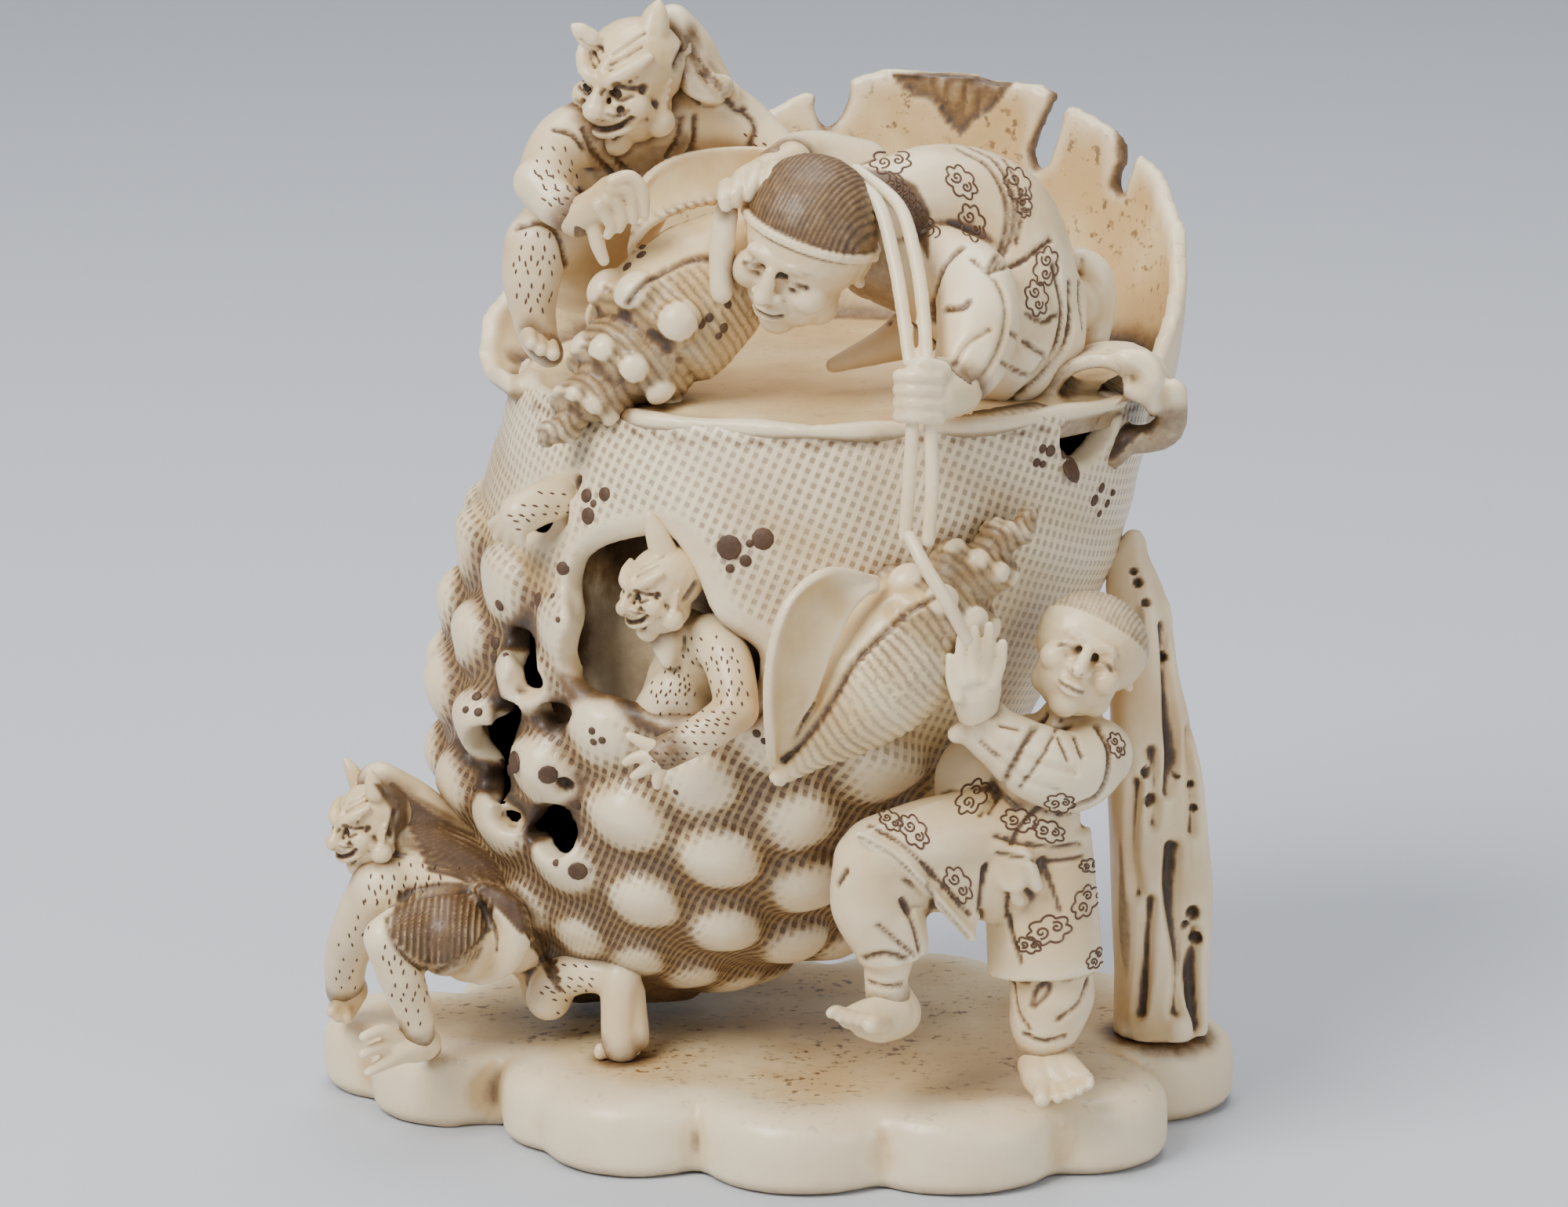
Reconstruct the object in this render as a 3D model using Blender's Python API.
"""A carved ivory group: oni and fishermen gather conches on a great broken sea shell.

The shell stands on a cloud-edged base and leans on a tree stump. Sizes are in millimetres
and the finished objects are in metres. X runs to the right, Y to the back and Z up, from
the middle of the base's underside.
"""

import math

import bmesh
import bpy
from mathutils import Matrix, Vector

MM = 0.001

# The base
BASE_THICKNESS = 9.0
BASE_EDGE_ROUNDING = 3.2
BASE_LENGTH = 103.0
BASE_DEPTH = 66.5
BASE_CENTRE = (0.0, -0.03)
BASE_SIDES = 90
# Each lobe's middle over the base's length and depth, and its radius over the length
CLOUD_LOBES = (
    ((-0.417, 0.075), 0.078),
    ((-0.354, -0.060), 0.083),
    ((-0.214, -0.211), 0.078),
    ((-0.146, -0.293), 0.102),
    ((0.034, -0.361), 0.117),
    ((0.194, -0.361), 0.117),
    ((0.330, -0.293), 0.092),
    ((0.408, -0.015), 0.097),
    ((0.330, 0.180), 0.102),
    ((0.165, 0.256), 0.117),
    ((-0.039, 0.263), 0.121),
    ((-0.243, 0.218), 0.112),
)

# Neighbouring pieces stand this far apart where they touch
SEAT_GAP = 0.3

# The great shell, in its own upright frame before it leans over
SHELL_LEAN_DEG = 24.0
SHELL_PIVOT = (3.0, 3.0)
SHELL_PIVOT_HEIGHT = 59.0
SHELL_SHELF_HEIGHT = 75.0
SHELL_RADIUS = 34.5
SHELL_LENGTH = 96.0
SHELL_WALL = 3.4
SHELF_THICKNESS = 4.5
# Each pair is a height above the pivot over the length and a radius over the largest one
SHELL_PROFILE = (
    (-0.690, 0.04),
    (-0.665, 0.17),
    (-0.625, 0.32),
    (-0.583, 0.43),
    (-0.521, 0.57),
    (-0.458, 0.70),
    (-0.354, 0.83),
    (-0.296, 0.88),
    (-0.167, 0.96),
    (0.0, 1.0),
    (0.104, 0.985),
    (0.188, 0.94),
    (0.365, 0.86),
)
KNOB_ROWS = (-0.188, -0.271, -0.359, -0.443, -0.531)
KNOB_COUNT = 16
KNOB_HEIGHT = 2.2
KNOB_HALF_WIDTH = 3.9
SHELL_SEGMENTS = 64
SHELL_RING_STEP = 2.1

# The shell's broken openings: turn and height on the body over its length, then radius
WORM_HOLES = (
    (-133.0, -0.266, 3.0),
    (-124.0, -0.292, 1.7),
    (-140.0, -0.344, 3.4),
    (-129.0, -0.368, 1.6),
    (-133.0, -0.418, 2.5),
    (-117.0, -0.411, 3.2),
    (-106.0, -0.435, 1.6),
)
ARM_HOLE = (-136.0, -0.012, 4.2)
ARM_RADIUS = 2.5
ARM_DEPTH_INSIDE = 3.6
ARM_FINGER_RADIUS = 1.3
WINDOW_CENTRE = (-12.6, 52.5)
WINDOW_OUTLINE = (
    (-11.4, 6.0),
    (-12.2, -0.4),
    (-10.6, -6.4),
    (-5.6, -10.2),
    (3.0, -11.6),
    (9.6, -9.8),
    (11.4, -2.0),
    (10.0, 5.4),
    (5.6, 9.6),
    (-2.6, 9.8),
)
WINDOW_DEPTH = (-46.0, -12.0)

# The flaring lip, which turns round its own centre
LIP_CENTRE = (5.0, 3.0)
LIP_DEPTH_SHARE = 0.82
LIP_ROOT_RADIUS = 27.0
LIP_THICKNESS = 2.2
LIP_REACH = 40.0
LIP_HEIGHT = 102.0
LIP_ROOT_DEPTH = 2.5
LIP_FRONT_DROP = 4.5
LIP_FRONT_REACH = 6.5
# Each station: a turn, the reach and the top edge's height over the largest
LIP_STATIONS = (
    (-20.0, 0.95, 0.706),
    (-8.0, 1, 0.784),
    (6.0, 1, 0.863),
    (24.0, 1, 0.922),
    (42.0, 0.9875, 0.971),
    (55.0, 0.975, 0.99),
    (70.0, 0.95, 1),
    (86.0, 0.925, 0.985),
    (100.0, 0.9125, 0.951),
    (118.0, 0.9, 0.902),
    (140.0, 0.9, 0.843),
    (160.0, 0.9, 0.784),
    (178.0, 0.9, 0.75),
    (196.0, 0.875, 0.725),
)
LIP_RISE_STEPS = 6
LIP_NOTCHES = ((31.0, 0.951, 1.2), (46.5, 0.941, 1.5), (89.0, 0.975, 2.0))
SIPHON_CENTRE = (35.0, -15.5, 72.5)
SIPHON_RADIUS = 3.6
SIPHON_CURL_RADIUS = 5.6
SIPHON_CURL_THICKNESS = 1.9
SIPHON_CURL_SET_BACK = 2.0
SIPHON_CURL_LENGTH = 5.0

# The stump that props the shell
STUMP_FOOT = (0.421, -0.060)
STUMP_HEIGHT = 57.0
STUMP_TRUNK = (
    ((-0.004, -0.02, -0.02), 0.105),
    ((-0.011, 0.0, 0.18), 0.085),
    ((-0.011, 0.0, 0.374), 0.08),
    ((-0.021, 0.0, 0.532), 0.082),
    ((-0.012, 0.0, 0.737), 0.085),
    ((-0.075, 0.0, 0.89), 0.058),
    ((-0.062, 0.03, 0.96), 0.036),
)
STUMP_BRANCH = (
    ((0.055, -0.02, -0.02), 0.05),
    ((0.060, -0.018, 0.186), 0.045),
    ((0.052, -0.018, 0.379), 0.055),
    ((0.037, -0.018, 0.663), 0.034),
    ((0.005, 0.0, 0.863), 0.026),
)

# Figures keep their poses as shares of their own height from the named point
STANDING_MAN_HEIGHT = 57.0
STANDING_MAN_PLACE = (0.301, -0.421)
STANDING_MAN = {
    "heel_l": (-0.039, 0.061, 0.030),
    "toe_l": (0.002, -0.053, 0.022),
    "ankle_l": (-0.023, 0.044, 0.086),
    "knee_l": (-0.019, 0.010, 0.190),
    "hip_l": (-0.007, 0.063, 0.295),
    "pelvis": (-0.062, 0.070, 0.367),
    "waist": (-0.070, 0.070, 0.467),
    "chest": (-0.047, 0.070, 0.590),
    "neck": (0.025, 0.080, 0.709),
    "head": (0.053, 0.053, 0.851),
    "shoulder_l": (0.070, 0.040, 0.655),
    "elbow_l": (0.033, -0.040, 0.625),
    "wrist_l": (-0.150, -0.088, 0.755),
    "palm_l": (-0.166, -0.110, 0.840),
    "finger_l": (-0.174, -0.120, 0.937),
    "thumb_l": (-0.212, -0.140, 0.900),
    "shoulder_r": (-0.140, 0.070, 0.632),
    "elbow_r": (-0.198, 0.030, 0.575),
    "wrist_r": (-0.225, 0.009, 0.660),
    "hip_r": (-0.149, 0.053, 0.372),
    "knee_r": (-0.320, -0.053, 0.455),
    "cuff_r": (-0.342, -0.060, 0.330),
    "ankle_r": (-0.347, -0.053, 0.255),
    "heel_r": (-0.335, -0.020, 0.196),
    "toe_r": (-0.400, -0.110, 0.196),
    "hem_l": (-0.020, 0.030, 0.300),
}
CRAWLING_ONI_HEIGHT = 42.0
CRAWLING_ONI_PLACE = (-0.408, -0.2195)
CRAWLING_ONI = {
    "head": (-0.071, 0.133, 0.610),
    "horn_a": (-0.126, 0.190, 0.752),
    "horn_b": (-0.043, 0.080, 0.774),
    "nose": (-0.160, 0.110, 0.560),
    "chin": (-0.102, 0.110, 0.490),
    "neck": (0.007, 0.157, 0.490),
    "chest": (0.026, 0.157, 0.410),
    "belly": (0.160, 0.205, 0.375),
    "pelvis": (0.240, 0.190, 0.300),
    "cloth": (0.188, 0.060, 0.340),
    "shoulder_l": (-0.036, 0.086, 0.450),
    "elbow_l": (-0.114, 0.276, 0.260),
    "wrist_l": (-0.155, 0.430, 0.080),
    "hand_l": (-0.165, 0.470, 0.030),
    "hip_l": (0.126, 0.014, 0.307),
    "knee_l": (-0.002, -0.110, 0.370),
    "ankle_l": (0.040, 0.014, 0.086),
    "heel_l": (0.085, 0.040, 0.035),
    "toe_l": (-0.050, -0.021, 0.030),
    "hip_r": (0.307, 0.110, 0.236),
    "knee_r": (0.419, 0.110, 0.110),
    "ankle_r": (0.574, 0.062, 0.200),
    "toe_r": (0.588, 0.014, 0.030),
    "hair_top": (0.000, 0.157, 0.650),
    "hair_mid": (0.100, 0.210, 0.520),
    "hair_end": (0.200, 0.260, 0.420),
    "shoulder_r": (0.100, 0.300, 0.380),
    "hand_r": (0.093, 0.500, 0.035),
}
WINDOW_ONI_HEIGHT = 26.0
WINDOW_ONI_PLACE = (-8.0, -27.0)
WINDOW_ONI_SILL = 38.5
WINDOW_ONI = {
    "head": (-0.162, 0.019, 0.631),
    "horn": (-0.181, 0.038, 0.960),
    "nose": (-0.350, -0.030, 0.542),
    "chin": (-0.235, -0.050, 0.481),
    "ear": (0.015, 0.0, 0.650),
    "neck": (-0.069, 0.115, 0.435),
    "chest": (-0.058, 0.180, 0.280),
    "shoulder": (0.060, 0.038, 0.427),
    "elbow": (0.150, -0.200, 0.223),
    "wrist": (-0.027, -0.300, 0.069),
    "hand": (-0.162, -0.320, 0.031),
    "knee": (-0.150, 0.090, 0.219),
    "pelvis": (-0.019, 0.269, 0.110),
}
UPPER_ONI_HEIGHT = 46.0
UPPER_ONI_PLACE = (-25.0, -2.0)
UPPER_ONI = {
    "head": (0.211, -0.109, 0.687),
    "horn_a": (0.100, -0.087, 0.830),
    "horn_b": (0.278, -0.065, 0.893),
    "ear": (0.352, -0.050, 0.754),
    "nose": (0.095, -0.245, 0.690),
    "chin": (0.150, -0.190, 0.604),
    "neck": (0.254, -0.022, 0.537),
    "chest": (0.240, 0.060, 0.433),
    "shoulder_l": (0.060, -0.050, 0.540),
    "elbow_l": (0.000, -0.220, 0.474),
    "wrist_l": (0.109, -0.310, 0.440),
    "hand_l": (0.183, -0.350, 0.490),
    "shoulder_r": (0.400, 0.020, 0.565),
    "elbow_r": (0.500, 0.060, 0.520),
    "pelvis": (0.100, 0.140, 0.130),
    "knee_l": (-0.007, -0.120, 0.346),
    "foot_l": (-0.020, -0.180, 0.060),
    "hair_a": (0.330, 0.090, 0.740),
    "hair_b": (0.400, 0.130, 0.650),
}
UPPER_MAN_HEIGHT = 48.0
UPPER_MAN_PLACE = (25.0, -8.0)
UPPER_MAN = {
    "head": (-0.435, -0.255, 0.335),
    "crown": (-0.415, -0.188, 0.420),
    "chin": (-0.470, -0.330, 0.215),
    "neck": (-0.310, -0.146, 0.365),
    "chest": (-0.194, -0.021, 0.350),
    "belly": (-0.060, 0.062, 0.310),
    "pelvis": (0.071, 0.042, 0.194),
    "seat": (0.035, -0.083, 0.100),
    "shoulder_l": (-0.154, -0.190, 0.300),
    "elbow_l": (-0.042, -0.320, 0.215),
    "wrist_l": (-0.096, -0.458, 0.106),
    "fist_l": (-0.173, -0.521, 0.088),
    "shoulder_r": (-0.300, 0.060, 0.400),
    "elbow_r": (-0.431, 0.150, 0.460),
    "hand_r": (-0.560, -0.083, 0.469),
    "rod_a": (-0.625, -0.170, 0.446),
    "rod_b": (-0.642, -0.230, 0.270),
    "knee_r": (-0.230, 0.125, 0.060),
    "hand_floor": (-0.340, 0.083, 0.030),
    "shin": (0.200, 0.150, 0.060),
    "foot": (0.210, 0.190, 0.150),
    "strap_neck": (-0.285, -0.040, 0.455),
    "strap_chest": (-0.235, -0.333, 0.350),
    "strap_fist": (-0.185, -0.521, 0.180),
    "strap_rim": (-0.188, -0.545, 0.0),
    "strap_end": (-0.200, -0.565, -0.215),
}

# The two conches, each as shares of its own length from the named place
LOWER_CONCH_LENGTH = 40.0
LOWER_CONCH_PLACE = (10.0, -36.5, 49.0)
LOWER_CONCH_APEX = (0.425, 0.200, 0.395)
LOWER_CONCH_SIPHON = (-0.230, 0.010, -0.270)
LOWER_CONCH_ROOT = ((-0.215, 0.06, -0.250), (-0.060, 0.13, -0.010), (0.105, 0.13, 0.240))
LOWER_CONCH_EDGE = ((-0.250, -0.03, -0.240), (-0.262, -0.06, 0.060), (0.060, -0.02, 0.285))
UPPER_CONCH_LENGTH = 42.0
UPPER_CONCH_PLACE = (-25.0, -18.0)
UPPER_CONCH_APEX = (0.030, -0.120, -0.060)
UPPER_CONCH_SIPHON = (0.620, 0.200, 0.440)
UPPER_CONCH_ROOT = ((0.260, 0.18, 0.400), (0.420, 0.22, 0.440), (0.600, 0.24, 0.450))
UPPER_CONCH_EDGE = ((0.275, 0.13, 0.540), (0.470, 0.20, 0.610), (0.700, 0.26, 0.575))
CONCH_RADIUS_SHARE = 0.225
CONCH_TURNS = 4.6
CONCH_LIP_THICKNESS = 1.2

# Clay is fused on a grid of this size
CLAY_GRID = 0.75
FINE_CLAY_GRID = 0.6
ROOM_GRID = 0.55


def clear_scene():
    """Removes whatever the scene holds."""
    for thing in list(bpy.data.objects):
        bpy.data.objects.remove(thing)


def ivory(name, colour, roughness):
    """A plain ivory material of one shade."""
    made = bpy.data.materials.new(name)
    made.use_nodes = True
    shader = made.node_tree.nodes["Principled BSDF"]
    shader.inputs["Base Color"].default_value = (*colour, 1.0)
    shader.inputs["Roughness"].default_value = roughness
    shader.inputs["Metallic"].default_value = 0.0
    return made


def object_from(mesh_data, name, material=None):
    """Links a bmesh as a named object and frees it."""
    mesh = bpy.data.meshes.new(name)
    mesh_data.to_mesh(mesh)
    mesh_data.free()
    made = bpy.data.objects.new(name, mesh)
    bpy.context.scene.collection.objects.link(made)
    if material:
        mesh.materials.append(material)
    return made


def baked(thing):
    """Turns an object's modifiers into its mesh."""
    graph = bpy.context.evaluated_depsgraph_get()
    mesh = bpy.data.meshes.new_from_object(thing.evaluated_get(graph))
    thing.modifiers.clear()
    thing.data = mesh
    return thing


def keep_largest(thing):
    """Drops the loose crumbs that a cut leaves."""
    shape = bmesh.new()
    shape.from_mesh(thing.data)
    left = set(shape.verts)
    islands = []
    while left:
        island = {left.pop()}
        edge_of_search = set(island)
        while edge_of_search:
            found = {e.other_vert(v) for v in edge_of_search for e in v.link_edges}
            edge_of_search = found & left
            left -= edge_of_search
            island |= edge_of_search
        islands.append(island)
    islands.sort(key=len)
    for island in islands[:-1]:
        bmesh.ops.delete(shape, geom=list(island), context="VERTS")
    shape.to_mesh(thing.data)
    shape.free()
    return thing


def boolean(thing, other, operation):
    """Joins, cuts or trims one object with another, which is then removed."""
    step = thing.modifiers.new(operation.lower(), "BOOLEAN")
    step.operation = operation
    step.solver = "EXACT"
    step.object = other
    baked(thing)
    bpy.data.objects.remove(other)
    return thing


def thinned(thing, faces):
    """Collapses edges until about this many triangles are left."""
    thing.data.calc_loop_triangles()
    count = len(thing.data.loop_triangles)
    if count > faces:
        step = thing.modifiers.new("thin", "DECIMATE")
        step.ratio = faces / count
        step.use_collapse_triangulate = True
        baked(thing)
    return thing


def copied(thing):
    """Another object with its own copy of a mesh."""
    copy = thing.copy()
    copy.data = thing.data.copy()
    bpy.context.scene.collection.objects.link(copy)
    return copy


def room_for(thing, gap=SEAT_GAP * 1.6, faces=3000):
    """A solid a little larger than a piece, to cut its neighbours back with."""
    room = copied(thing)
    swell = room.modifiers.new("swell", "DISPLACE")
    swell.direction = "NORMAL"
    swell.mid_level = 0.0
    swell.strength = gap * MM
    fuse = room.modifiers.new("fuse", "REMESH")
    fuse.mode = "VOXEL"
    fuse.voxel_size = ROOM_GRID * MM
    return thinned(baked(room), faces)


def seat(thing, rooms):
    """Cuts a piece back where it would press into its neighbours."""
    for room in rooms:
        boolean(thing, copied(room), "DIFFERENCE")
    return keep_largest(thing)


def level_off(thing, height, keep_above=True):
    """Cuts an object flat at a height and closes the cut."""
    shape = bmesh.new()
    shape.from_mesh(thing.data)
    cut = bmesh.ops.bisect_plane(
        shape,
        geom=shape.verts[:] + shape.edges[:] + shape.faces[:],
        plane_co=(0, 0, height * MM),
        plane_no=(0, 0, -1 if keep_above else 1),
        clear_outer=True,
    )
    edges = [e for e in cut["geom_cut"] if isinstance(e, bmesh.types.BMEdge)]
    bmesh.ops.holes_fill(shape, edges=edges)
    bmesh.ops.triangulate(shape, faces=shape.faces[:])
    shape.to_mesh(thing.data)
    shape.free()
    return keep_largest(thing)


def aim(direction):
    """A rotation that turns +Z to a direction."""
    return Vector(direction).to_track_quat("Z", "Y").to_matrix().to_4x4()


class Clay:
    """Lumps that are pressed together and fused into one closed body."""

    def __init__(self):
        self.mesh = bmesh.new()

    def ball(self, centre, radii, direction=(0, 0, 1)):
        """A round or egg-shaped lump, its last radius along the direction."""
        size = (radii,) * 3 if isinstance(radii, (int, float)) else radii
        place = Matrix.Translation(Vector(centre)) @ aim(direction)
        matrix = place @ Matrix.Diagonal((*size, 1.0))
        bmesh.ops.create_icosphere(self.mesh, subdivisions=2, radius=1.0, matrix=matrix)
        return self

    def limb(self, start, start_radius, end, end_radius):
        """A tapering round limb with round ends."""
        start, end = Vector(start), Vector(end)
        along = end - start
        place = Matrix.Translation((start + end) / 2) @ aim(along)
        bmesh.ops.create_cone(
            self.mesh,
            cap_ends=True,
            segments=14,
            radius1=start_radius,
            radius2=end_radius,
            depth=along.length,
            matrix=place,
        )
        self.ball(start, start_radius)
        return self.ball(end, end_radius)

    def chain(self, places, radii):
        """Limbs end to end through several places."""
        for i in range(len(places) - 1):
            self.limb(places[i], radii[i], places[i + 1], radii[i + 1])
        return self

    def spike(self, start, start_radius, end):
        """A horn or a toe that ends almost in a point."""
        return self.limb(start, start_radius, end, start_radius * 0.35)

    def fused(self, name, material, faces, grid=CLAY_GRID):
        """One closed object of about so many triangles."""
        bmesh.ops.scale(self.mesh, vec=(MM, MM, MM), verts=self.mesh.verts)
        made = object_from(self.mesh, name, material)
        step = made.modifiers.new("fuse", "REMESH")
        step.mode = "VOXEL"
        step.voxel_size = grid * MM
        relax = made.modifiers.new("relax", "SMOOTH")
        relax.iterations = 2
        return thinned(keep_largest(baked(made)), faces)


def posed(shares, height, place):
    """A figure's joints in millimetres."""
    return {
        name: Vector(place) + Vector(share) * height for name, share in shares.items()
    }


def between(a, b, share):
    """The place a share of the way from one to the other."""
    return a + (b - a) * share


def on_base(spot):
    """A place on the base's top, from shares of its length and depth."""
    return spot[0] * BASE_LENGTH, spot[1] * BASE_DEPTH, BASE_THICKNESS


def lobe_reach(turn):
    """How far the cloud edge lies from the base's centre in one direction."""
    ray = Vector((math.cos(turn), math.sin(turn)))
    middle = Vector(on_base(BASE_CENTRE)).to_2d()
    reach = 0.0
    for centre, share in CLOUD_LOBES:
        radius = share * BASE_LENGTH
        offset = Vector(on_base(centre)).to_2d() - middle
        along = offset.dot(ray)
        across_squared = offset.length_squared - along * along
        if along > 0 and across_squared < radius * radius:
            reach = max(reach, along + math.sqrt(radius * radius - across_squared))
    return reach


def make_base(material):
    """The base: a flat slab whose edge swells in cloud lobes."""
    turns = [2 * math.pi * i / BASE_SIDES for i in range(BASE_SIDES)]
    reaches = [lobe_reach(turn) for turn in turns]
    rounding = BASE_EDGE_ROUNDING
    middle_x, middle_y, _ = on_base(BASE_CENTRE)
    steps = (
        (0.7, 0.0),
        (0.0, 1.4),
        (0.0, BASE_THICKNESS - rounding),
        (0.3 * rounding, BASE_THICKNESS - 0.3 * rounding),
        (rounding, BASE_THICKNESS),
    )
    shape = bmesh.new()
    rings = []
    for inset, height in steps:
        rings.append(
            [
                shape.verts.new(
                    (
                        (middle_x + (reach - inset) * math.cos(turn)) * MM,
                        (middle_y + (reach - inset) * math.sin(turn)) * MM,
                        height * MM,
                    )
                )
                for turn, reach in zip(turns, reaches)
            ]
        )
    join_rings(shape, rings)
    shape.faces.new(rings[0][::-1])
    shape.faces.new(rings[-1])
    bmesh.ops.triangulate(shape, faces=shape.faces[:])
    return object_from(shape, "cloud_base", material)


def join_rings(shape, rings):
    """Walls between each ring of vertices and the next."""
    for low, high in zip(rings, rings[1:]):
        count = len(low)
        for i in range(count):
            j = (i + 1) % count
            shape.faces.new((low[i], low[j], high[j], high[i]))


def close_thin_end(shape, ring):
    """Closes the end of a thin wall whose ring runs out along one face and back."""
    count = len(ring)
    for i in range(count // 2 - 1):
        shape.faces.new((ring[i], ring[i + 1], ring[-i - 2], ring[-i - 1]))


def interpolated(table, value):
    """Reads a table of (value, result) pairs in a straight line between rows."""
    for (a, first), (b, second) in zip(table, table[1:]):
        if value <= b:
            share = max(0.0, (value - a) / (b - a))
            return first + (second - first) * share
    return table[-1][1]


def shell_radius(height):
    """The smooth radius of the body at a height above the pivot."""
    return SHELL_RADIUS * interpolated(SHELL_PROFILE, height / SHELL_LENGTH)


def knob_rise(turn, height):
    """How far the knobs stand out of the body there."""
    rise = 0.0
    for row, share in enumerate(KNOB_ROWS):
        step = 2 * math.pi / KNOB_COUNT
        offset = (turn / step + 0.5 * (row % 2)) % 1.0
        across = min(offset, 1.0 - offset) * step * shell_radius(height)
        along = height - share * SHELL_LENGTH
        distance = math.hypot(across, along) / KNOB_HALF_WIDTH
        if distance < 1.0:
            rise = max(rise, KNOB_HEIGHT * math.cos(distance * math.pi / 2))
    return rise


def lean(point):
    """Turns a place in the shell's own frame to its leaning place on the base."""
    angle = math.radians(SHELL_LEAN_DEG)
    x, y, z = point
    return Vector(
        (
            SHELL_PIVOT[0] + x * math.cos(angle) + z * math.sin(angle),
            SHELL_PIVOT[1] + y,
            BASE_THICKNESS
            + SHELL_PIVOT_HEIGHT
            - x * math.sin(angle)
            + z * math.cos(angle),
        )
    )


def on_shell(turn_deg, height_share, outward=0.0):
    """A place on the leaning shell's skin, in millimetres."""
    height = height_share * SHELL_LENGTH
    radius = shell_radius(height) + outward
    turn = math.radians(turn_deg)
    return lean((radius * math.cos(turn), radius * math.sin(turn), height))


def turned_body(low, high, step, segments, radius_at):
    """A closed body round the shell's own axis."""
    shape = bmesh.new()
    count = max(3, round((high - low) / step))
    rings = []
    for i in range(count + 1):
        height = low + (high - low) * i / count
        ring = []
        for j in range(segments):
            turn = 2 * math.pi * j / segments
            radius = radius_at(turn, height)
            place = lean((radius * math.cos(turn), radius * math.sin(turn), height))
            ring.append(shape.verts.new(place * MM))
        rings.append(ring)
    join_rings(shape, rings)
    shape.faces.new(rings[0][::-1])
    shape.faces.new(rings[-1])
    bmesh.ops.triangulate(shape, faces=shape.faces[:])
    return shape


def lip_surface(turn_deg, reach, top, rise, inset):
    """A place on the lip's inner face, or inset from it into the wall."""
    turn = math.radians(turn_deg)
    front = min(1.0, max(0.0, (28.0 - turn_deg) / 24.0))
    root_radius = LIP_ROOT_RADIUS + LIP_FRONT_REACH * front
    root = SHELL_SHELF_HEIGHT - LIP_ROOT_DEPTH - LIP_FRONT_DROP * front
    swing = rise * math.pi / 2
    radius = root_radius + (reach - root_radius) * math.sin(swing) ** 0.8
    height = root + (top - root) * (1 - math.cos(swing))
    radius += inset * math.sin(swing)
    height -= inset * math.cos(swing)
    return Vector(
        (
            LIP_CENTRE[0] + radius * math.cos(turn),
            LIP_CENTRE[1] + radius * math.sin(turn) * LIP_DEPTH_SHARE,
            BASE_THICKNESS + height,
        )
    )


def make_lip():
    """The broad thin lip that sweeps up round the back of the shell."""
    shape = bmesh.new()
    rings = []
    for turn_deg, reach_share, height_share in LIP_STATIONS:
        reach, top = reach_share * LIP_REACH, height_share * LIP_HEIGHT
        rises = [i / LIP_RISE_STEPS for i in range(LIP_RISE_STEPS + 1)]
        thick = [LIP_THICKNESS * (1.0 - 0.35 * rise) for rise in rises]
        inner = [lip_surface(turn_deg, reach, top, rise, 0.0) for rise in rises]
        outer = [
            lip_surface(turn_deg, reach, top, rise, t) for rise, t in zip(rises, thick)
        ]
        rings.append([shape.verts.new(p * MM) for p in inner + outer[::-1]])
    join_rings(shape, rings)
    for ring in (rings[0], rings[-1]):
        close_thin_end(shape, ring)
    bmesh.ops.triangulate(shape, faces=shape.faces[:])
    bmesh.ops.recalc_face_normals(shape, faces=shape.faces[:])
    return object_from(shape, "lip")


def rod_cutter(name, start, end, radius, sides=9):
    """A round cutter between two places."""
    shape = bmesh.new()
    start, end = Vector(start), Vector(end)
    matrix = Matrix.Translation((start + end) / 2) @ aim(end - start)
    bmesh.ops.create_cone(
        shape,
        cap_ends=True,
        segments=sides,
        radius1=radius,
        radius2=radius,
        depth=(end - start).length,
        matrix=matrix,
    )
    bmesh.ops.scale(shape, vec=(MM, MM, MM), verts=shape.verts)
    return object_from(shape, name)


def window_cutter():
    """The ragged window that the little oni looks out of."""
    shape = bmesh.new()
    front, back = WINDOW_DEPTH
    rings = []
    for depth in (front, back):
        rings.append(
            [
                shape.verts.new(
                    (
                        (WINDOW_CENTRE[0] + x) * MM,
                        depth * MM,
                        (BASE_THICKNESS + WINDOW_CENTRE[1] + z) * MM,
                    )
                )
                for x, z in WINDOW_OUTLINE
            ]
        )
    join_rings(shape, rings)
    shape.faces.new(rings[0][::-1])
    shape.faces.new(rings[-1])
    bmesh.ops.recalc_face_normals(shape, faces=shape.faces[:])
    return object_from(shape, "window")


def siphon_curl():
    """The rolled notch at the end of the lip."""
    clay = Clay()
    centre = Vector(SIPHON_CENTRE) + Vector((0, 0, BASE_THICKNESS))
    places = []
    for i in range(9):
        turn = math.radians(205 - 30 * i)
        radius = SIPHON_CURL_RADIUS * (1.0 if i < 7 else 0.8)
        places.append(
            centre
            + Vector(
                (
                    radius * math.cos(turn),
                    SIPHON_CURL_SET_BACK,
                    radius * math.sin(turn),
                )
            )
        )
    clay.chain(places, [SIPHON_CURL_THICKNESS] * 9)
    run_back = Vector((0, 1, -0.1)) * SIPHON_CURL_LENGTH
    inner = [place + run_back for place in places[:7]]
    clay.chain(inner, [SIPHON_CURL_THICKNESS] * 7)
    for near, far in zip(places[:7], inner):
        clay.limb(near, SIPHON_CURL_THICKNESS, far, SIPHON_CURL_THICKNESS)
    return clay.fused("curl", None, 260)


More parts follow.
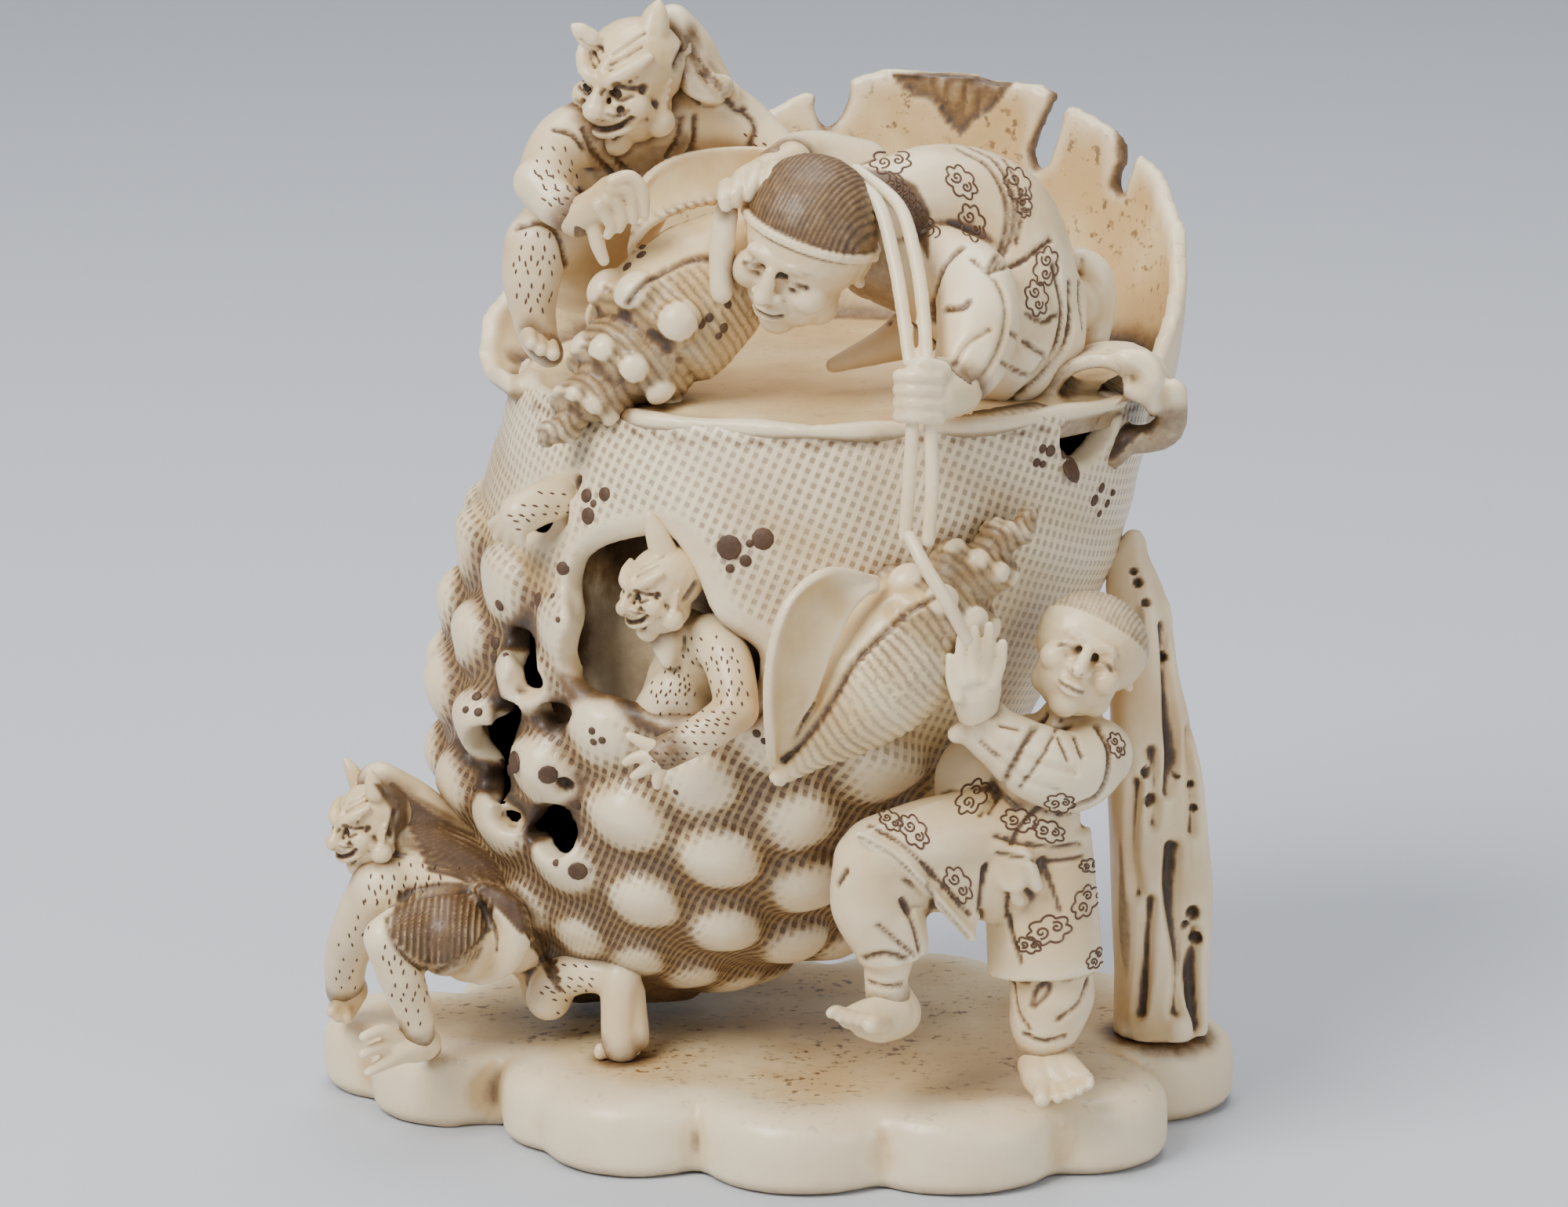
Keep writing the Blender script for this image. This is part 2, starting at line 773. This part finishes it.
def reaching_arm():
    """The spotted arm that comes out of the arm hole and grips the shell."""
    clay = Clay()
    turn, height, _ = ARM_HOLE
    elbow = on_shell(turn - 1, height - 0.004, -ARM_DEPTH_INSIDE)
    wrist = on_shell(turn - 7, height - 0.06, 0.64 * ARM_RADIUS)
    knuckles = on_shell(turn - 12, height - 0.098, 0.48 * ARM_RADIUS)
    thick = [1.04 * ARM_RADIUS, ARM_RADIUS, 0.88 * ARM_RADIUS]
    clay.chain([elbow, wrist, knuckles], thick)
    for i in range(3):
        lift = 0.46 * ARM_FINGER_RADIUS
        tip = on_shell(turn - 17 + i * 2.2, height - 0.135 - 0.012 * i, lift)
        clay.limb(knuckles, ARM_FINGER_RADIUS, tip, 0.62 * ARM_FINGER_RADIUS)
    return clay.fused("arm", None, 160)


def make_great_shell(material):
    """The hollow knobbed shell with its lip, window and worm holes."""
    low = SHELL_PROFILE[0][0] * SHELL_LENGTH
    high = SHELL_PROFILE[-1][0] * SHELL_LENGTH
    body = object_from(
        turned_body(
            low,
            high,
            SHELL_RING_STEP,
            SHELL_SEGMENTS,
            lambda turn, height: shell_radius(height) + knob_rise(turn, height),
        ),
        "great_shell",
        material,
    )
    shelf = BASE_THICKNESS + SHELL_SHELF_HEIGHT
    level_off(body, shelf, keep_above=False)
    level_off(body, BASE_THICKNESS + SEAT_GAP)
    thinned(body, 2600)
    hollow = object_from(
        turned_body(
            low * 0.8,
            high,
            8.0,
            26,
            lambda turn, height: max(2.0, shell_radius(height) - SHELL_WALL),
        ),
        "hollow",
    )
    level_off(hollow, shelf - SHELF_THICKNESS, keep_above=False)
    boolean(body, make_lip(), "UNION")
    boolean(body, siphon_curl(), "UNION")
    boolean(body, hollow, "DIFFERENCE")
    boolean(body, window_cutter(), "DIFFERENCE")
    holes = [*WORM_HOLES, ARM_HOLE]
    for i, (turn, height, radius) in enumerate(holes):
        start = on_shell(turn, height, 5.0)
        end = on_shell(turn, height, -7.0)
        boolean(body, rod_cutter(f"hole_{i}", start, end, radius), "DIFFERENCE")
    boolean(body, reaching_arm(), "UNION")
    centre = Vector(SIPHON_CENTRE) + Vector((0, 0, BASE_THICKNESS))
    bore = rod_cutter(
        "siphon",
        centre + Vector((1.5, -8, 2)),
        centre + Vector((-5.5, 15, -6)),
        SIPHON_RADIUS,
        12,
    )
    boolean(body, bore, "DIFFERENCE")
    for i, (turn_deg, height_share, radius) in enumerate(LIP_NOTCHES):
        reach, top = 0.9625 * LIP_REACH, height_share * LIP_HEIGHT
        place = lip_surface(turn_deg, reach, top, 1.0, 0.0)
        across = Vector((place.x - LIP_CENTRE[0], place.y - LIP_CENTRE[1], 0)) * 0.3
        cutter = rod_cutter(f"notch_{i}", place - across, place + across, radius, 6)
        boolean(body, cutter, "DIFFERENCE")
    return keep_largest(body)


def make_stump(material, shell_room):
    """The gnarled stump that props up the shell's right side."""
    clay = Clay()
    foot = on_base(STUMP_FOOT)
    for strand in (STUMP_TRUNK, STUMP_BRANCH):
        places = [Vector(foot) + Vector(share) * STUMP_HEIGHT for share, _ in strand]
        clay.chain(places, [radius * STUMP_HEIGHT for _, radius in strand])
    made = clay.fused("tree_stump", material, 520)
    level_off(made, BASE_THICKNESS + SEAT_GAP)
    return seat(made, [shell_room])


def conch_body(clay, apex, siphon, length):
    """The turned body of a small conch with its spiral of knobs."""
    axis = siphon - apex
    widest = CONCH_RADIUS_SHARE * length
    side = axis.orthogonal().normalized()
    other = axis.normalized().cross(side)
    steps = 9
    profile = ((0.0, 0.06), (0.15, 0.34), (0.3, 0.55), (0.5, 0.86), (0.62, 0.95))
    profile += ((0.8, 0.62), (1.0, 0.2))
    stations = [i / steps for i in range(steps + 1)]
    radii = [widest * interpolated(profile, share) for share in stations]
    clay.chain([apex + axis * share for share in stations], radii)
    knobs = 22
    for i in range(knobs):
        share = 0.06 + 0.5 * i / (knobs - 1)
        turn = 2 * math.pi * CONCH_TURNS * (i / (knobs - 1)) ** 0.8
        radius = widest * interpolated(profile, share)
        out = side * math.cos(turn) + other * math.sin(turn)
        clay.ball(apex + axis * share + out * radius * 0.93, 0.35 + 0.17 * radius)


def conch_lip(clay, root, edge, thickness):
    """The thin flaring lip of a small conch, cupped between two curves."""
    rows = []
    for start, end in zip(curve_through(root, 8), curve_through(edge, 8)):
        rows.append([between(start, end, i / 4) for i in range(5)])
    cup = (root[1] - root[0]).cross(edge[1] - root[1]).normalized()
    half = thickness / 2
    verts = []
    for row in rows:
        sag = [cup * 1.6 * math.sin(math.pi * i / 4) for i in range(5)]
        upper = [p + s + cup * half for p, s in zip(row, sag)]
        lower = [p + s - cup * half for p, s in zip(row, sag)]
        verts.append([clay.mesh.verts.new(p) for p in upper + lower[::-1]])
    first_face = len(clay.mesh.faces)
    join_rings(clay.mesh, verts)
    for ring in (verts[0], verts[-1]):
        close_thin_end(clay.mesh, ring)
    clay.mesh.faces.ensure_lookup_table()
    bmesh.ops.recalc_face_normals(clay.mesh, faces=clay.mesh.faces[first_face:])


def curve_through(places, count):
    """Places along a smooth curve through three."""
    first, middle, last = places
    handle = middle * 2 - (first + last) / 2
    made = []
    for i in range(count):
        t = i / (count - 1)
        made.append(
            first * (1 - t) ** 2 + handle * 2 * t * (1 - t) + last * t**2
        )
    return made


def make_conch(name, material, place, length, ends, curves):
    """A small conch with knobs and a flaring lip."""
    clay = Clay()
    apex, siphon = (Vector(place) + Vector(share) * length for share in ends)
    root, edge = (
        [Vector(place) + Vector(share) * length for share in curve] for curve in curves
    )
    conch_body(clay, apex, siphon, length)
    conch_lip(clay, root, edge, CONCH_LIP_THICKNESS)
    return clay.fused(name, material, 700, FINE_CLAY_GRID)


def oni_head(clay, joints, radius, horns, ear=None):
    """A horned head that looks towards its nose."""
    head = joints["head"]
    clay.ball(head, (radius * 0.86, radius * 0.9, radius))
    clay.ball(between(head, joints["chin"], 0.62), radius * 0.55)
    clay.ball(between(head, joints["nose"], 0.72), radius * 0.36)
    clay.ball(between(head, joints["nose"], 0.98), radius * 0.2)
    for horn in horns:
        clay.spike(between(head, joints[horn], 0.55), radius * 0.26, joints[horn])
    if ear:
        clay.spike(between(head, joints[ear], 0.5), radius * 0.3, joints[ear])


def fingers(clay, palm, tip, side, spread, radius, count=4):
    """Fingers that leave a palm side by side and end near a tip."""
    for i in range(count):
        shift = side * spread * (i - (count - 1) / 2)
        clay.limb(palm + shift * 0.8, radius, tip + shift * 1.15, radius * 0.75)


def make_standing_man(material, rooms):
    """The fisherman who steadies the hanging conch."""
    size = STANDING_MAN_HEIGHT
    j = posed(STANDING_MAN, size, on_base(STANDING_MAN_PLACE))
    clay = Clay()
    clay.ball(j["head"], (0.118 * size, 0.115 * size, 0.14 * size), (0.25, 0.1, 1))
    clay.limb(j["chest"], 0.08 * size, j["neck"], 0.05 * size)
    clay.ball(j["chest"], (0.135 * size, 0.105 * size, 0.13 * size))
    clay.ball(j["waist"], (0.125 * size, 0.1 * size, 0.12 * size))
    clay.ball(j["pelvis"], (0.13 * size, 0.11 * size, 0.12 * size))
    clay.limb(j["pelvis"], 0.1 * size, j["hem_l"], 0.105 * size)
    clay.chain(
        [j["shoulder_l"], j["elbow_l"], j["wrist_l"], j["palm_l"]],
        [0.07 * size, 0.078 * size, 0.045 * size, 0.042 * size],
    )
    fingers(clay, j["palm_l"], j["finger_l"], Vector((1, 0.2, 0.15)), 1.5, 0.85)
    clay.limb(j["palm_l"], 0.02 * size, j["thumb_l"], 0.014 * size)
    clay.chain(
        [j["shoulder_r"], j["elbow_r"], j["wrist_r"]],
        [0.07 * size, 0.06 * size, 0.04 * size],
    )
    clay.chain(
        [j["hip_l"], j["knee_l"], j["ankle_l"]],
        [0.09 * size, 0.08 * size, 0.042 * size],
    )
    clay.limb(j["heel_l"], 0.042 * size, j["toe_l"], 0.036 * size)
    clay.limb(j["ankle_l"], 0.042 * size, j["heel_l"], 0.042 * size)
    clay.chain(
        [j["hip_r"], j["knee_r"], j["cuff_r"], j["ankle_r"], j["heel_r"]],
        [0.1 * size, 0.09 * size, 0.075 * size, 0.042 * size, 0.036 * size],
    )
    clay.limb(j["heel_r"], 0.036 * size, j["toe_r"], 0.034 * size)
    made = clay.fused("standing_man", material, 1050)
    level_off(made, BASE_THICKNESS + SEAT_GAP)
    return seat(made, rooms)


def make_crawling_oni(material, rooms):
    """The oni that crawls away on the left of the base."""
    size = CRAWLING_ONI_HEIGHT
    j = posed(CRAWLING_ONI, size, on_base(CRAWLING_ONI_PLACE))
    clay = Clay()
    oni_head(clay, j, 0.125 * size, ("horn_a", "horn_b"))
    clay.chain(
        [j["neck"], j["chest"], j["belly"], j["pelvis"]],
        [0.09 * size, 0.13 * size, 0.14 * size, 0.15 * size],
    )
    clay.ball(j["cloth"], (0.2 * size, 0.15 * size, 0.15 * size))
    clay.chain(
        [j["hair_top"], j["hair_mid"], j["hair_end"]],
        [0.11 * size, 0.1 * size, 0.09 * size],
    )
    clay.chain(
        [j["shoulder_l"], j["elbow_l"], j["wrist_l"], j["hand_l"]],
        [0.085 * size, 0.062 * size, 0.05 * size, 0.055 * size],
    )
    clay.chain(
        [j["shoulder_r"], j["hand_r"]], [0.08 * size, 0.05 * size]
    )
    clay.chain(
        [j["hip_l"], j["knee_l"], j["ankle_l"], j["heel_l"]],
        [0.1 * size, 0.072 * size, 0.052 * size, 0.05 * size],
    )
    clay.limb(j["heel_l"], 0.05 * size, j["toe_l"], 0.045 * size)
    clay.chain(
        [j["hip_r"], j["knee_r"], j["ankle_r"], j["toe_r"]],
        [0.1 * size, 0.08 * size, 0.065 * size, 0.055 * size],
    )
    made = clay.fused("crawling_oni", material, 1000)
    level_off(made, BASE_THICKNESS + SEAT_GAP)
    return seat(made, rooms)


def make_window_oni(material, rooms):
    """The little oni that leans out of the window."""
    size = WINDOW_ONI_HEIGHT
    j = posed(
        WINDOW_ONI, size, (*WINDOW_ONI_PLACE, BASE_THICKNESS + WINDOW_ONI_SILL)
    )
    clay = Clay()
    oni_head(clay, j, 0.19 * size, ("horn",), "ear")
    clay.chain(
        [j["neck"], j["chest"], j["pelvis"]], [0.1 * size, 0.16 * size, 0.15 * size]
    )
    clay.chain(
        [j["shoulder"], j["elbow"], j["wrist"], j["hand"]],
        [0.11 * size, 0.095 * size, 0.075 * size, 0.07 * size],
    )
    clay.limb(j["chest"], 0.13 * size, j["shoulder"], 0.11 * size)
    clay.limb(j["pelvis"], 0.12 * size, j["knee"], 0.1 * size)
    return seat(clay.fused("window_oni", material, 620, FINE_CLAY_GRID), rooms)


def make_upper_oni(material, rooms):
    """The oni that grips the upper conch."""
    size = UPPER_ONI_HEIGHT
    j = posed(
        UPPER_ONI, size, (*UPPER_ONI_PLACE, BASE_THICKNESS + SHELL_SHELF_HEIGHT)
    )
    clay = Clay()
    oni_head(clay, j, 0.165 * size, ("horn_a", "horn_b"), "ear")
    clay.chain([j["hair_a"], j["hair_b"]], [0.1 * size, 0.085 * size])
    clay.chain(
        [j["neck"], j["chest"], j["pelvis"]],
        [0.09 * size, 0.15 * size, 0.16 * size],
    )
    clay.chain(
        [j["neck"], j["shoulder_l"], j["elbow_l"], j["wrist_l"], j["hand_l"]],
        [0.08 * size, 0.09 * size, 0.07 * size, 0.055 * size, 0.055 * size],
    )
    clay.chain(
        [j["neck"], j["shoulder_r"], j["elbow_r"]],
        [0.08 * size, 0.09 * size, 0.07 * size],
    )
    clay.chain(
        [j["pelvis"], j["knee_l"], j["foot_l"]],
        [0.12 * size, 0.085 * size, 0.065 * size],
    )
    return seat(clay.fused("upper_oni", material, 950), rooms)


def make_upper_man(material, rooms):
    """The fisherman on the shelf who holds the strap of the hanging conch."""
    size = UPPER_MAN_HEIGHT
    j = posed(
        UPPER_MAN, size, (*UPPER_MAN_PLACE, BASE_THICKNESS + SHELL_SHELF_HEIGHT)
    )
    clay = Clay()
    clay.ball(j["head"], (0.145 * size, 0.15 * size, 0.19 * size), (0.15, 0.25, 1))
    clay.chain(
        [j["head"], j["neck"], j["chest"], j["belly"], j["pelvis"], j["seat"]],
        [0.1 * size, 0.09 * size, 0.16 * size, 0.18 * size, 0.19 * size, 0.16 * size],
    )
    clay.chain(
        [j["chest"], j["shoulder_l"], j["elbow_l"], j["wrist_l"], j["fist_l"]],
        [0.1 * size, 0.105 * size, 0.1 * size, 0.062 * size, 0.072 * size],
    )
    clay.chain(
        [j["chest"], j["shoulder_r"], j["elbow_r"], j["hand_r"]],
        [0.1 * size, 0.09 * size, 0.07 * size, 0.05 * size],
    )
    clay.limb(j["rod_a"], 0.03 * size, j["rod_b"], 0.03 * size)
    clay.limb(j["hand_r"], 0.045 * size, j["rod_a"], 0.035 * size)
    clay.chain(
        [j["seat"], j["knee_r"], j["hand_floor"]],
        [0.1 * size, 0.055 * size, 0.03 * size],
    )
    clay.chain(
        [j["pelvis"], j["shin"], j["foot"]], [0.1 * size, 0.065 * size, 0.06 * size]
    )
    strap = [j[f"strap_{part}"] for part in ("neck", "chest", "fist", "rim", "end")]
    clay.chain(strap, [0.04 * size] * 5)
    made = clay.fused("upper_man", material, 1150)
    return seat(made, rooms)


def main():
    """Makes every piece, each cut to the ones made before it."""
    clear_scene()
    mottled = ivory("mottled_ivory", (0.80, 0.70, 0.56), 0.42)
    white = ivory("white_ivory", (0.86, 0.79, 0.67), 0.36)
    horn = ivory("yellow_ivory", (0.82, 0.72, 0.55), 0.34)
    spotted = ivory("spotted_ivory", (0.78, 0.69, 0.56), 0.4)
    make_base(mottled)
    shell = room_for(make_great_shell(mottled), faces=16000)
    make_stump(mottled, shell)
    shelf = BASE_THICKNESS + SHELL_SHELF_HEIGHT
    x, y, z = LOWER_CONCH_PLACE
    lower = make_conch(
        "lower_conch",
        horn,
        (x, y, BASE_THICKNESS + z),
        LOWER_CONCH_LENGTH,
        (LOWER_CONCH_APEX, LOWER_CONCH_SIPHON),
        (LOWER_CONCH_ROOT, LOWER_CONCH_EDGE),
    )
    upper = make_conch(
        "upper_conch",
        horn,
        (*UPPER_CONCH_PLACE, shelf),
        UPPER_CONCH_LENGTH,
        (UPPER_CONCH_APEX, UPPER_CONCH_SIPHON),
        (UPPER_CONCH_ROOT, UPPER_CONCH_EDGE),
    )
    lower_room = room_for(seat(lower, [shell]))
    upper_room = room_for(seat(upper, [shell]))
    make_standing_man(white, [shell, lower_room])
    make_crawling_oni(spotted, [shell])
    make_window_oni(spotted, [shell])
    oni_room = room_for(make_upper_oni(spotted, [shell, upper_room]))
    make_upper_man(white, [shell, lower_room, upper_room, oni_room])
    for room in (shell, lower_room, upper_room, oni_room):
        bpy.data.objects.remove(room)


main()
